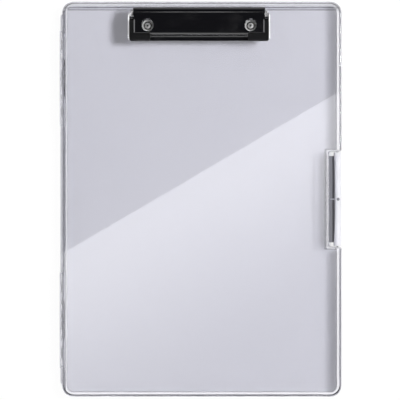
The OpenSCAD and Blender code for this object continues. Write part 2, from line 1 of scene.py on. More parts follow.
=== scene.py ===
"""Clear storage clipboard box: finishes, wound springs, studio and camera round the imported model.

Lengths are metres, or millimetres where it is said, in the part's own frame: X runs from the hinges to the
latch, Y towards the paper clip, Z up.
"""
import logging
import math
from dataclasses import dataclass
from enum import Enum
from typing import Any, Union

import bpy
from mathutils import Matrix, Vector


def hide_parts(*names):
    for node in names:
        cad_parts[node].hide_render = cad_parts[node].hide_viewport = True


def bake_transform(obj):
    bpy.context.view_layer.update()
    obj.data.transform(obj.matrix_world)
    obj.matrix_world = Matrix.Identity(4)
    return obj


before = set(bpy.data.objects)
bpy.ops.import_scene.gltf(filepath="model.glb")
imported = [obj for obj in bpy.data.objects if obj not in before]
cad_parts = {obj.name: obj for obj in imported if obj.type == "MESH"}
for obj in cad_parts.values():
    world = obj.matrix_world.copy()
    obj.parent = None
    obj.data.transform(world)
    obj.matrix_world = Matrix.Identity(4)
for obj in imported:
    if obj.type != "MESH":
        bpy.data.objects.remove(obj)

log = logging.getLogger("clipboard_box")

MM = 0.001
Colour = tuple[float, float, float]
Stops = list[tuple[float, float]]


# ---- Shader expressions ----


class Signal:
    """A shader value that Python's operators carry on with Math nodes."""

    def __init__(self, recipe: "Recipe", socket: bpy.types.NodeSocket) -> None:
        """Wraps one output socket.

        Args:
            recipe: the material or world that the socket belongs to.
            socket: the output socket that holds the value.
        """
        self.recipe = recipe
        self.socket = socket

    def _maths(self, operation: str, first: "Value", second: "Value") -> "Signal":
        """One Math node. Args: operation, first and second. Returns its result."""
        return self.recipe.node("ShaderNodeMath", {"operation": operation}, {0: first, 1: second})

    def __add__(self, other: "Value") -> "Signal":
        """Returns self + other."""
        return self._maths("ADD", self, other)

    __radd__ = __add__

    def __sub__(self, other: "Value") -> "Signal":
        """Returns self - other."""
        return self._maths("SUBTRACT", self, other)

    def __rsub__(self, other: "Value") -> "Signal":
        """Returns other - self."""
        return self._maths("SUBTRACT", other, self)

    def __mul__(self, other: "Value") -> "Signal":
        """Returns self * other."""
        return self._maths("MULTIPLY", self, other)

    __rmul__ = __mul__

    def __pow__(self, power: "Value") -> "Signal":
        """Returns self to that power."""
        return self._maths("POWER", self, power)

    def smooth(self, low: float, high: float) -> "Signal":
        """Eases from 0 at low to 1 at high.

        Args:
            low: the value that gives 0.
            high: the value that gives 1.

        Returns:
            The eased value.
        """
        return self.recipe.node(
            "ShaderNodeMapRange",
            {"interpolation_type": "SMOOTHSTEP"},
            {"Value": self, "From Min": low, "From Max": high},
        )

    def band(self, low: float, high: float, soft: float) -> "Signal":
        """A band of values.

        Args:
            low: where the band starts.
            high: where it ends.
            soft: how wide each of its soft ends is, centred on low and on high.

        Returns:
            1 inside the band and 0 outside.
        """
        half = soft / 2
        return self.smooth(low - half, low + half) * (1.0 - self.smooth(high - half, high + half))

    def size(self) -> "Signal":
        """Returns the value without its sign."""
        return self._maths("ABSOLUTE", self, 0.0)

    def least(self, other: "Value") -> "Signal":
        """Returns the smaller of self and other."""
        return self._maths("MINIMUM", self, other)

    def most(self, other: "Value") -> "Signal":
        """Returns the larger of self and other."""
        return self._maths("MAXIMUM", self, other)

    def between(self, low: float, high: float) -> "Signal":
        """Spreads a share from 0 to 1 over low to high. Returns the value there."""
        return self * (high - low) + low


Value = Union[Signal, float]
Paint = Union[Signal, Colour]


class Recipe:
    """The node tree of one material or world."""

    def __init__(self, owner: Union[bpy.types.Material, bpy.types.World]) -> None:
        """Empties the owner's tree.

        Args:
            owner: a material or a world.
        """
        self.owner = owner
        owner.use_nodes = True
        self.tree = owner.node_tree
        self.tree.nodes.clear()

    def node(
        self,
        kind: str,
        settings: dict[str, Any] | None = None,
        inputs: dict[str | int, Any] | None = None,
        output: str | int = 0,
    ) -> Signal:
        """Adds any node.

        Args:
            kind: the node's type.
            settings: its properties, set first; "stops" gives a ramp's positions and grey levels.
            inputs: its sockets' values, or the signals linked to them, by name or number.
            output: the name or number of the output that is wanted.

        Returns:
            That output.
        """
        made = self.tree.nodes.new(kind)
        for name, value in (settings or {}).items():
            if name == "stops":
                self._set_stops(made.color_ramp, value)
            else:
                setattr(made, name, value)
        for name, value in (inputs or {}).items():
            if isinstance(value, Signal):
                self.tree.links.new(value.socket, made.inputs[name])
            else:
                made.inputs[name].default_value = value
        return Signal(self, made.outputs[output]) if len(made.outputs) else Signal(self, None)

    @staticmethod
    def _set_stops(ramp: bpy.types.ColorRamp, stops: Stops) -> None:
        """Sets a ramp's stops.

        Args:
            ramp: the ramp.
            stops: its positions and grey levels.
        """
        for _ in range(len(stops) - len(ramp.elements)):
            ramp.elements.new(1.0)
        for element, (position, level) in zip(ramp.elements, stops):
            element.position = position
            element.color = (level, level, level, 1.0)

    def place(self, scale: Union[float, Colour] = 1.0, turn: float = 0.0) -> Signal:
        """Object coordinates, scaled and turned about Z.

        Args:
            scale: how many texture units go to a metre, for all axes or for each.
            turn: the turn about Z, in degrees.

        Returns:
            The coordinates.
        """
        spread = scale if isinstance(scale, tuple) else (scale,) * 3
        where = self.node("ShaderNodeTexCoord", output="Object")
        turned = self.node(
            "ShaderNodeMapping",
            {"vector_type": "POINT"},
            {"Vector": where, "Rotation": (0, 0, math.radians(turn))},
        )
        return self.node("ShaderNodeVectorMath", {"operation": "MULTIPLY"}, {0: turned, 1: spread})

    def noise(self, where: Signal, detail: float = 2.0, roughness: float = 0.5) -> Signal:
        """Noise from 0 to 1 at those coordinates. Returns its value."""
        return self.node(
            "ShaderNodeTexNoise",
            {"noise_dimensions": "3D"},
            {"Vector": where, "Scale": 1.0, "Detail": detail, "Roughness": roughness},
        )

    def blend(self, share: Value, first: Paint, second: Paint) -> Signal:
        """Mixes two colours. Args: share of the second, first, second. Returns the colour."""
        ends = [paint if isinstance(paint, Signal) else (*paint, 1.0) for paint in (first, second)]
        return self.node("ShaderNodeMix", {"data_type": "RGBA"}, {0: share, 6: ends[0], 7: ends[1]}, output=2)

    def millimetres(self) -> tuple[Signal, Signal, Signal]:
        """Where a point lies in the part's frame, in millimetres.

        Returns:
            Its X, Y and Z.
        """
        where = self.place(1.0 / MM)
        x, y, z = (self.node("ShaderNodeSeparateXYZ", None, {0: where}, output=axis) for axis in range(3))
        return x, y, z

    def bump(self, height: Signal, depth: float, after: Signal | None = None) -> Signal:
        """A normal that follows a height.

        Args:
            height: the height, from 0 to 1.
            depth: how many metres a height of 1 stands up.
            after: a normal to add to, or None for the surface's own.

        Returns:
            The normal.
        """
        inputs: dict[str | int, Any] = {"Height": height, "Distance": depth, "Strength": 1.0}
        if after is not None:
            inputs["Normal"] = after
        return self.node("ShaderNodeBump", None, inputs)

    def finish(self, shader: Signal, output: str = "ShaderNodeOutputMaterial") -> None:
        """Links the last shader to the output node. Args: shader, and output, that node's type."""
        self.node(output, None, {"Surface": shader})


# ---- Finishes ----


@dataclass(frozen=True)
class CasePlan:
    """The case's outline from above, in millimetres, with the latch's recess in its right side."""

    centre_x: float = 1.225
    half_x: float = 118.775
    half_y: float = 168.0
    corner: float = 9.5
    notch_x: float = 109.0
    notch_y: float = 40.4

    def inset(self, x: Signal, y: Signal) -> Signal:
        """How far a point lies inside the outline.

        Args:
            x: its X.
            y: its Y.

        Returns:
            The distance, without the recess.
        """
        over_x = (x - self.centre_x).size() - (self.half_x - self.corner)
        over_y = y.size() - (self.half_y - self.corner)
        round_off = (over_x.most(0.0) ** 2.0 + over_y.most(0.0) ** 2.0) ** 0.5
        return self.corner - round_off - over_x.most(over_y).least(0.0)

    def notch(self, x: Signal, y: Signal) -> Signal:
        """How far a point lies outside the recess. Args: x and y. Returns the distance."""
        return (self.notch_x - x).most(y.size() - self.notch_y)


@dataclass(frozen=True)
class ClearPlastic:
    """Clear moulded plastic that has been handled: bright, faintly lavender, with hairline scuffs."""

    name: str = "clear_plastic"
    tint: Colour = (0.925, 0.925, 0.955)
    tint_thick: Colour = (0.915, 0.915, 0.95)
    ior: float = 1.57
    polish: float = 0.015
    scuff_roughness: float = 0.07
    ripple_depth: float = 0.008 * MM
    lamp_tint: Colour = (0.97, 0.97, 0.98)
    steepest_clear: float = 0.22
    shallowest_dark: float = 0.60
    wall_shade: float = 0.54
    notch_shade: float = 0.20
    wall_shade_top: tuple[float, float] = (19.0, 23.0)
    notch_shade_top: tuple[float, float] = (14.0, 18.0)
    notch_reach: tuple[float, float] = (2.5, 3.5)
    plan: CasePlan = CasePlan()
    # Painted shade: a grey tint along the outer outline, the left wall, the rear rim and the recess.
    painted_shade_grey: Colour = (0.50, 0.50, 0.53)
    painted_highlight_white: Colour = (0.93, 0.93, 0.96)
    outline: float = 1.5
    outline_painted_shade: float = 0.06
    left_wall: tuple[float, float] = (-117.4, -114.7)
    left_wall_painted_shade: float = 0.58
    # Painted highlight: a whiter, rougher rim top and recess edge, dimmed along the rear.
    lit_rim: tuple[float, float] = (2.1, 3.9)
    lit_share: float = 0.44
    lit_roughness: float = 0.3
    lit_notch: tuple[float, float] = (0.35, 1.7)
    lit_notch_share: float = 0.6
    painted_notch_shade: tuple[float, float] = (1.8, 2.5)
    painted_notch_shade_share: float = 0.85
    left_edge: float = -114.3
    left_shift: float = 1.5
    rear_shade: tuple[float, float] = (162.5, 163.4)
    rear_rim: tuple[float, float] = (158.0, 162.0)
    rear_dimming: float = 0.55
    rear_painted_highlight: tuple[float, float] = (0.3, 1.9)
    rear_painted_highlight_share: float = 0.45
    rim_z: float = 24.0

    def material(self) -> bpy.types.Material:
        """Builds the plastic.

        Returns:
            Its material.
        """
        made = bpy.data.materials.new(self.name)
        recipe = Recipe(made)
        ripple = recipe.noise(recipe.place(22.0), detail=1.0)
        hairline = self._hairlines(recipe, 31.0) + self._hairlines(recipe, -54.0)
        tint = recipe.blend(recipe.noise(recipe.place(9.0)), self.tint, self.tint_thick)
        # Painted shade and a painted highlight along the case's edges.
        painted_shade_share, lit = self._painted_edge_light(recipe)
        solid = recipe.node(
            "ShaderNodeBsdfPrincipled",
            None,
            {
                "Base Color": recipe.blend(painted_shade_share, tint, self.painted_shade_grey),
                "Roughness": hairline.between(self.polish, self.scuff_roughness),
                "IOR": self.ior,
                "Transmission Weight": 1.0,
                "Normal": recipe.bump(ripple, self.ripple_depth),
            },
        )
        # A whiter, rougher surface mixed in along the rim's top: a painted highlight.
        painted_highlight_shader = recipe.node(
            "ShaderNodeBsdfPrincipled",
            None,
            {
                "Base Color": recipe.blend(hairline, self.painted_highlight_white, self.tint),
                "Roughness": self.lit_roughness,
                "IOR": self.ior,
            },
        )
        edged = recipe.node("ShaderNodeMixShader", None, {0: lit, 1: solid, 2: painted_highlight_shader})
        for_lamps = recipe.node("ShaderNodeBsdfTransparent", None, {"Color": (*self.lamp_tint, 1.0)})
        share = self._lamp_share(recipe)
        recipe.finish(recipe.node("ShaderNodeMixShader", None, {0: share, 1: edged, 2: for_lamps}))
        return made

    def _painted_edge_light(self, recipe: Recipe) -> tuple[Signal, Signal]:
        """Painted shade along the outline, the walls, the rear rim and the recess, and a painted highlight on
        the rim's top.

        Args:
            recipe: the material's nodes.

        Returns:
            The share of the painted darker tint, and the share of the painted highlight on the rim.
        """
        x, y, z = recipe.millimetres()
        inset = self.plan.inset(x, y)
        notch = self.plan.notch(x, y)
        left = 1.0 - x.smooth(self.left_edge - 0.2, self.left_edge + 0.2)
        outline = 1.0 - inset.smooth(self.outline - 0.4, self.outline + 0.4)
        painted_notch_shade = notch.band(*self.painted_notch_shade, 0.3) * inset.smooth(2.0, 3.0) * self.painted_notch_shade_share
        painted_shade_share = (outline * self.outline_painted_shade).most(x.band(*self.left_wall, 0.5) * self.left_wall_painted_shade)
        painted_shade_share = painted_shade_share.most(y.band(*self.rear_shade, 0.5)).most(painted_notch_shade)
        rim = (inset - left * self.left_shift).band(*self.lit_rim, 0.4) * notch.smooth(1.3, 1.8)
        rear = y.smooth(*self.rear_rim)
        rear_painted_highlight = rear * inset.band(*self.rear_painted_highlight, 0.4) * self.rear_painted_highlight_share
        lit_notch = notch.band(*self.lit_notch, 0.3) * inset.smooth(0.0, 1.0) * self.lit_notch_share
        lit = (rim * (1.0 - rear * self.rear_dimming)).most(rear_painted_highlight).most(lit_notch)
        return painted_shade_share, lit * z.smooth(self.rim_z, self.rim_z + 0.5) * self.lit_share

    def _hairlines(self, recipe: Recipe, turn: float) -> Signal:
        """Sparse straight scuffs.

        Args:
            recipe: the material's nodes.
            turn: their direction, in degrees.

        Returns:
            A share that is 1 on a scuff.
        """
        streaks = recipe.noise(recipe.place((1400.0, 18.0, 60.0), turn), detail=0.0)
        return streaks.smooth(0.72, 0.80) * recipe.noise(recipe.place(14.0)).smooth(0.5, 0.7)

    def _lamp_share(self, recipe: Recipe) -> Signal:
        """The share of a lamp's light that goes straight through: least along the lower part of a wall.

        Args:
            recipe: the material's nodes.

        Returns:
            The share, which is 0 for every other ray.
        """
        lamp_ray = recipe.node("ShaderNodeLightPath", output="Is Shadow Ray")
        slant = recipe.node("ShaderNodeLayerWeight", None, {"Blend": 0.5}, output="Facing")
        x, y, z = recipe.millimetres()
        away = self.plan.notch(x, y).smooth(*self.notch_reach)
        wall = away * (1.0 - z.smooth(*self.wall_shade_top)) * self.wall_shade
        notch = (1.0 - away) * (1.0 - z.smooth(*self.notch_shade_top)) * self.notch_shade
        shade = wall + notch
        return lamp_ray * (1.0 - slant.smooth(self.steepest_clear, self.shallowest_dark) * shade)


@dataclass(frozen=True)
class FrostedPlastic:
    """Whitish translucent plastic, moulded with a fine spark-eroded texture."""

    name: str = "frosted_plastic"
    light: Colour = (0.77, 0.77, 0.81)
    milky: Colour = (0.72, 0.72, 0.76)
    # The inner flank is painted darker than the outer face: painted shade.
    flank_painted_shade: Colour = (0.50, 0.50, 0.56)
    flank: tuple[float, float] = (113.4, 117.6)
    # A grey spot painted on the flap's top at its middle: painted shade of the notch there.
    notch_spot: tuple[float, float] = (117.1, 0.0)
    notch_spot_r: float = 1.3
    notch_spot_z: tuple[float, float] = (25.5, 25.9)
    notch_painted_shade_grey: Colour = (0.16, 0.16, 0.18)
    hook_painted_shade: Colour = (0.20, 0.20, 0.23)
    # The hook under the slot is painted grey and its root darker: painted shade and a painted shadow.
    hook_root_painted_shadow: Colour = (0.05, 0.05, 0.06)
    hook_top: float = 22.6
    hook_end: float = 114.3
    root_start: float = 112.4
    lamp_share: float = 0.85
    grain_depth: float = 0.02 * MM

    def material(self) -> bpy.types.Material:
        """Builds the plastic.

        Returns:
            Its material.
        """
        made = bpy.data.materials.new(self.name)
        recipe = Recipe(made)
        cloud = recipe.noise(recipe.place(120.0), detail=3.0)
        grain = recipe.noise(recipe.place(2600.0), detail=2.0)
        x, y, z = recipe.millimetres()
        shell = recipe.blend(cloud.smooth(0.3, 0.7), self.light, self.milky)
        # Painted shade on the flap's inner flank.
        flank = recipe.blend(x.smooth(*self.flank), self.flank_painted_shade, shell)
        # Painted shade: a grey spot on the flap's top at its middle.
        from_notch_spot = ((x - self.notch_spot[0]) ** 2.0 + (y - self.notch_spot[1]) ** 2.0) ** 0.5
        notch_spot = (1.0 - from_notch_spot.smooth(self.notch_spot_r - 0.3, self.notch_spot_r + 0.3)) * z.smooth(*self.notch_spot_z)
        flap = recipe.blend(notch_spot, flank, self.notch_painted_shade_grey)
        # Painted shade on the hook, and a painted shadow along its root.
        hook_painted_shade = recipe.blend(x.smooth(self.root_start - 0.2, self.root_start + 0.2), self.hook_painted_shade, self.hook_root_painted_shadow)
        in_hook = (1.0 - z.smooth(self.hook_top, self.hook_top + 0.4)) * (
            1.0 - x.smooth(self.hook_end - 0.3, self.hook_end + 0.3)
        )
        solid = recipe.node(
            "ShaderNodeBsdfPrincipled",
            None,
            {
                "Base Color": recipe.blend(in_hook, flap, hook_painted_shade),
                "Roughness": grain.between(0.28, 0.42),
                "IOR": 1.49,
                "Transmission Weight": 0.3,
                "Subsurface Weight": 0.25,
                "Subsurface Radius": (0.004, 0.004, 0.004),
                "Subsurface Scale": 1.0,
                "Normal": recipe.bump(grain, self.grain_depth),
            },
        )
        for_lamps = recipe.node("ShaderNodeBsdfTransparent", None, {"Color": (1, 1, 1, 1)})
        share = recipe.node("ShaderNodeLightPath", output="Is Shadow Ray") * self.lamp_share
        recipe.finish(recipe.node("ShaderNodeMixShader", None, {0: share, 1: solid, 2: for_lamps}))
        return made


class Grain(Enum):
    """Which way a steel piece was rolled, drawn or turned."""

    ALONG_X = (30.0, 900.0, 900.0)
    ALONG_Y = (900.0, 30.0, 900.0)
    STAMPED = (420.0, 420.0, 420.0)


@dataclass(frozen=True)
class PlatedSteel:
    """Nickel-plated steel with the rolling grain showing faintly through the plating."""

    name: str
    grain: Grain = Grain.ALONG_X
    bright: Colour = (0.83, 0.83, 0.85)
    dull: Colour = (0.70, 0.70, 0.72)
    smoothest: float = 0.12
    roughest: float = 0.30
    grain_depth: float = 0.004 * MM
    middle_x: float = -1.1
    # Painted highlight: beyond this distance from the clip's middle the skin turns pale and less metallic.
    painted_highlight_from: float = 1000.0
    side_wall_painted_highlight: Colour = (0.95, 0.95, 0.96)

    def material(self) -> bpy.types.Material:
        """Builds the steel.

        Returns:
            Its material.
        """
        made = bpy.data.materials.new(self.name)
        recipe = Recipe(made)
        grain = recipe.noise(recipe.place(self.grain.value), detail=4.0, roughness=0.6)
        cloud = recipe.noise(recipe.place(160.0), detail=2.0)
        from_middle = (recipe.millimetres()[0] - self.middle_x).size()
        # Painted highlight on the side walls' tops, far from the clip's middle.
        edge = from_middle.smooth(self.painted_highlight_from, self.painted_highlight_from + 0.3)
        skin = recipe.blend(cloud.smooth(0.35, 0.75), self.bright, self.dull)
        recipe.finish(
            recipe.node(
                "ShaderNodeBsdfPrincipled",
                None,
                {
                    "Base Color": recipe.blend(edge, skin, self.side_wall_painted_highlight),
                    "Metallic": 1.0 - edge * 0.85,
                    "Roughness": (grain * 0.6 + cloud * 0.4).between(self.smoothest, self.roughest),
                    "Normal": recipe.bump(grain, self.grain_depth),
                },
            )
        )
        return made


@dataclass(frozen=True)
class RivetSteel:
    """Dulled plated rivet heads with painted rings: a painted highlight on the rim, painted shade in the
    groove and the dimple, and a grey boss.
    """

    name: str = "rivet_steel"
    centre: tuple[float, float] = (-1.1, 147.4)
    spacing_half: float = 43.7
    head_r: float = 5.0
    uneven: float = 0.04
    worn_metallic: float = 0.55
    worn_roughness: tuple[float, float] = (0.24, 0.34)
    # Grey levels by share of the head's radius: the dark dimple and groove are painted shade, the bright rim
    # a painted highlight.
    rings: tuple[tuple[float, float], ...] = (
        (0.0, 0.015),
        (0.11, 0.02),
        (0.20, 0.30),
        (0.46, 0.38),
        (0.54, 0.015),
        (0.68, 0.02),
        (0.76, 0.95),
        (1.0, 0.95),
    )
    grain_depth: float = 0.006 * MM

    def material(self) -> bpy.types.Material:
        """Builds the steel.

        Returns:
            Its material.
        """
        made = bpy.data.materials.new(self.name)
        recipe = Recipe(made)
        x, y, _ = recipe.millimetres()
        across = (x - self.centre[0]).size() - self.spacing_half
        radius = (across**2.0 + (y - self.centre[1]) ** 2.0) ** 0.5
        grain = recipe.noise(recipe.place(520.0), detail=3.0)
        outwards = radius * (1.0 / self.head_r) + (grain - 0.5) * self.uneven
        rings = recipe.node("ShaderNodeValToRGB", {"stops": list(self.rings)}, {0: outwards})
        recipe.finish(
            recipe.node(
                "ShaderNodeBsdfPrincipled",
                None,
                {
                    "Base Color": rings,
                    "Metallic": self.worn_metallic,
                    "Roughness": grain.between(*self.worn_roughness),
                    "Normal": recipe.bump(grain, self.grain_depth),
                },
            )
        )
        return made


@dataclass(frozen=True)
class BlackLacquer:
    """Gloss black stoved enamel on steel, with a slight orange peel, fine dust and a grey painted highlight
    along the side bends.
    """

    name: str = "black_lacquer"
    paint: Colour = (0.0025, 0.0025, 0.0035)
    rubbed: Colour = (0.02, 0.02, 0.022)
    bend_painted_highlight: Colour = (0.11, 0.11, 0.115)
    middle_x: float = -1.1
    bend: tuple[float, float] = (54.4, 55.4)
    bend_highlight_length: tuple[float, float] = (141.4, 152.0)
    gloss: float = 0.09
    dull: float = 0.22
    peel_depth: float = 0.006 * MM

    def material(self) -> bpy.types.Material:
        """Builds the enamel.

        Returns:
            Its material.
        """
        made = bpy.data.materials.new(self.name)
        recipe = Recipe(made)
        peel = recipe.noise(recipe.place(700.0), detail=1.0)
        handled = recipe.noise(recipe.place(45.0), detail=4.0, roughness=0.6).smooth(0.45, 0.75)
        dust = recipe.noise(recipe.place(5200.0), detail=0.0).smooth(0.72, 0.82)
        x, y, _ = recipe.millimetres()
        # A grey painted highlight along the jaw's side bends.
        bend_highlight_band = (x - self.middle_x).size().band(*self.bend, 0.3) * y.band(*self.bend_highlight_length, 1.0)
        enamel = recipe.blend(dust * 0.5, self.paint, self.rubbed)
        recipe.finish(
            recipe.node(
                "ShaderNodeBsdfPrincipled",
                None,
                {
                    "Base Color": recipe.blend(bend_highlight_band, enamel, self.bend_painted_highlight),
                    "Roughness": handled.between(self.gloss, self.dull),
                    "IOR": 1.5,
                    "Normal": recipe.bump(peel, self.peel_depth),
                },
            )
        )
        return made


@dataclass(frozen=True)
class MouldedRubber:
    """Matt black moulded rubber with a fine bloom."""

    name: str = "black_rubber"
    base: Colour = (0.0035, 0.0035, 0.004)
    bloom: Colour = (0.009, 0.009, 0.010)
    grain_depth: float = 0.03 * MM

    def material(self) -> bpy.types.Material:
        """Builds the rubber.

        Returns:
            Its material.
        """
        made = bpy.data.materials.new(self.name)
        recipe = Recipe(made)
        grain = recipe.noise(recipe.place(1900.0), detail=3.0, roughness=0.7)
        bloom = recipe.noise(recipe.place(210.0), detail=3.0).smooth(0.4, 0.8)
        recipe.finish(
            recipe.node(
                "ShaderNodeBsdfPrincipled",
                None,
                {
                    "Base Color": recipe.blend(bloom, self.base, self.bloom),
                    "Roughness": bloom.between(0.48, 0.68),
                    "Specular IOR Level": 0.25,
                    "Normal": recipe.bump(grain, self.grain_depth),
                },
            )
        )
        return made


# ---- Making and dressing pieces ----


def dress(node: str, material: bpy.types.Material) -> bpy.types.Object:
    """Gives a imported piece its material.

    Args:
        node: the piece's name.
        material: the material for all of it.

    Returns:
        The piece's object.
    """
    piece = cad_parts[node]
    if not piece.material_slots:
        piece.data.materials.append(material)
    for slot in piece.material_slots:
        slot.material = material
    log.info("dressed %s in %s", node, material.name)
    return piece


def soften(piece: bpy.types.Object, width: float, steps: int = 2, angle: float = 40.0) -> None:
    """Breaks a piece's sharp edges.

    Args:
        piece: the piece's object.
        width: the width of the broken edge, in metres.
        steps: how many faces cross it.
        angle: the least angle between faces at an edge that is broken, in degrees.
    """
    bevel = piece.modifiers.new("broken_edges", "BEVEL")
    bevel.width = width
    bevel.segments = steps
    bevel.limit_method = "ANGLE"
    bevel.angle_limit = math.radians(angle)
    bevel.use_clamp_overlap = True
    bevel.harden_normals = False


# ---- Sub-assemblies ----


@dataclass
class Case:
    """The tray and the lid, both moulded in clear plastic."""

    plastic: ClearPlastic = ClearPlastic()

    def build(self) -> None:
        """Dresses the tray and the lid."""
        material = self.plastic.material()
        for node in ("tray", "lid"):
            dress(node, material)


@dataclass
class SideHinges:
    """The pins of the two hinges."""

    steel: PlatedSteel = PlatedSteel("drawn_pin_steel", Grain.ALONG_Y, smoothest=0.18, roughest=0.34)

    def build(self) -> None:
        """Dresses both pins."""
        material = self.steel.material()
        for node in ("hinge_pin_upper", "hinge_pin_lower"):
            dress(node, material)


@dataclass
class SideLatch:
    """The snap flap in the side recess, and its pin."""

    plastic: FrostedPlastic = FrostedPlastic()
    steel: PlatedSteel = PlatedSteel("latch_pin_steel", Grain.ALONG_Y)

    def build(self) -> None:
        """Dresses the flap and the pin."""
        soften(dress("latch", self.plastic.material()), 0.25 * MM)
        dress("latch_pin", self.steel.material())


@dataclass(frozen=True)
class TorsionSpring:
    """A torsion spring on the clip's pin, in millimetres, with one leg up towards the jaw and the other down
    towards the base.
    """

    pin: tuple[float, float, float] = (-1.1, 153.5, 30.8)
    inner_x: float = 18.0
    wire_r: float = 0.6
    coil_r: float = 2.7
    turns: int = 6
    pitch: float = 1.4
    up_angle: float = 105.0
    down_angle: float = -103.0
    up_z: float = 3.75
    down_z: float = -3.35
    tip: float = 0.25
    tip_rings: tuple[tuple[float, float], ...] = ((1.0, 1.0), (0.3, 0.86), (0.0, 0.6))
    steps_per_turn: int = 32
    wire_sides: int = 14

    def build(self, side: str, material: bpy.types.Material) -> bpy.types.Object:
        """Winds one spring and hides the imported spring that it stands for.

        Args:
            side: left or right of the clip's middle.
            material: the wire's material.

        Returns:
            The spring's object.
        """
        sign = -1.0 if side == "left" else 1.0
        rings = [self._ring(centre, angle, radius, sign) for centre, angle, radius in self._path()]
        count = self.wire_sides
        last = (len(rings) - 1) * count
        faces = [
            (first + k, first + count + k, first + count + (k + 1) % count, first + (k + 1) % count)
            for first in range(0, last, count)
            for k in range(count)
        ]
        faces += [tuple(range(count)), tuple(reversed(range(last, last + count)))]
        if sign < 0.0:
            faces = [tuple(reversed(face)) for face in faces]
        mesh = bpy.data.meshes.new(f"wound_spring_{side}")
        mesh.from_pydata([point for ring in rings for point in ring], [], faces)
        mesh.polygons.foreach_set("use_smooth", [len(face) == 4 for face in faces])
        mesh.materials.append(material)
        spring = bpy.data.objects.new(f"wound_spring_{side}", mesh)
        bpy.context.scene.collection.objects.link(spring)
        outer_x = self.inner_x + self._sweep() / 360.0 * self.pitch
        start, end = (
            tuple(MM * value for value in (self.pin[0] + sign * x, *self.pin[1:]))
            for x in (self.inner_x + self.wire_r, outer_x - self.wire_r)
        )
        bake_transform(spring)
        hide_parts(f"clip_spring_{side}")
        log.info("wound %s", spring.name)
        return spring

    def _sweep(self) -> float:
        """Returns how many degrees the wire turns between its legs."""
        return 360.0 * self.turns + self.down_angle - self.up_angle

    def _path(self) -> list[tuple[tuple[float, float, float], float, float]]:
        """The wire's centre line.

        Returns:
            For each ring its centre from the pin, its angle on the coil and its radius.
        """
        sweep = self._sweep()
        steps = round(sweep / 360.0 * self.steps_per_turn)
        turned = [sweep * step / steps for step in range(steps + 1)]
        coil = [(self._on_coil(self.up_angle + turn, turn), self.up_angle + turn) for turn in turned]
        up = self._leg(coil[0], self.up_z, -1.0)
        down = self._leg(coil[-1], self.down_z, 1.0)
        return list(reversed(up)) + [(centre, angle, self.wire_r) for centre, angle in coil] + down

    def _on_coil(self, angle: float, turned: float) -> tuple[float, float, float]:
        """Returns the coil's centre line at an angle, after so many degrees."""
        turn = math.radians(angle)
        return (turned / 360.0 * self.pitch, self.coil_r * math.cos(turn), self.coil_r * math.sin(turn))

    def _leg(
        self, root: tuple[tuple[float, float, float], float], level: float, way: float
    ) -> list[tuple[tuple[float, float, float], float, float]]:
        """A straight leg that leaves the coil along its tangent.

        Args:
            root: the coil's centre and angle where the leg starts.
            level: the height that the leg ends at.
            way: 1 for the wire's end and -1 for its start.

        Returns:
            The leg's rings, from its root to its rounded tip.
        """
        (x, y, z), angle = root
        turn = math.radians(angle)
        along = (-math.sin(turn) * way, math.cos(turn) * way)
        length = (level - z) / along[1]
        stations = [(length - self.tip * back, self.wire_r * share) for back, share in self.tip_rings]
        return [((x, y + along[0] * at, z + along[1] * at), angle, radius) for at, radius in stations]

    def _ring(
        self, centre: tuple[float, float, float], angle: float, radius: float, sign: float
    ) -> list[tuple[float, float, float]]:
        """One ring of the wire.

        Args:
            centre: its centre from the pin.
            angle: its angle on the coil, in degrees.
            radius: the wire's radius there.
            sign: 1 for the right spring and -1 for the left one.

        Returns:
            Its points, in metres in the part's frame.
        """
        turn = math.radians(angle)
        points = []
        for k in range(self.wire_sides):
            round_wire = math.tau * k / self.wire_sides
            out = radius * math.cos(round_wire)
            x = self.inner_x + centre[0] + radius * math.sin(round_wire)
            y = centre[1] + out * math.cos(turn)
            z = centre[2] + out * math.sin(turn)
            points.append((MM * (self.pin[0] + sign * x), MM * (self.pin[1] + y), MM * (self.pin[2] + z)))
        return points


@dataclass
class BoardClip:
    """The paper clip: plated base, black jaw, pin, springs and rubber corners."""

    lacquer: BlackLacquer = BlackLacquer()
    rubber: MouldedRubber = MouldedRubber()
    # Its side walls carry a painted highlight.
    plate: PlatedSteel = PlatedSteel("plated_sheet", Grain.ALONG_X, painted_highlight_from=58.9)
    # A dark steel for the clip's pin: painted shade, as it lies under the jaw.
    pin_painted_shade: PlatedSteel = PlatedSteel(
        "pin_steel_painted_shade", Grain.ALONG_X, bright=(0.14, 0.14, 0.15), dull=(0.10, 0.10, 0.11)
    )
    wire: PlatedSteel = PlatedSteel(
        "spring_wire",
        Grain.STAMPED,
        bright=(0.60, 0.60, 0.62),
        dull=(0.42, 0.42, 0.44),
        smoothest=0.2,
        roughest=0.36,
    )
    spring: TorsionSpring = TorsionSpring()

    def build(self) -> None:
        """Dresses the clip's pieces."""
        plate = self.plate.material()
        wire = self.wire.material()
        rubber = self.rubber.material()
        soften(dress("clip_base", plate), 0.3 * MM)
        soften(dress("clip_jaw", self.lacquer.material()), 0.15 * MM)
        dress("clip_pin", self.pin_painted_shade.material())
        for side in ("left", "right"):
            dress(f"clip_spring_{side}", wire)
            self.spring.build(side, wire)
            soften(dress(f"clip_grip_{side}", rubber), 0.4 * MM)


@dataclass
class Rivets:
    """The rivets and their washers."""

    head: RivetSteel = RivetSteel()
    washer: PlatedSteel = PlatedSteel("stamped_steel", Grain.STAMPED, smoothest=0.10, roughest=0.24)

    def build(self) -> None:
        """Dresses rivets and washers."""
        dress("clip_rivets", self.head.material())
        dress("rivet_washers", self.washer.material())


# ---- Studio ----


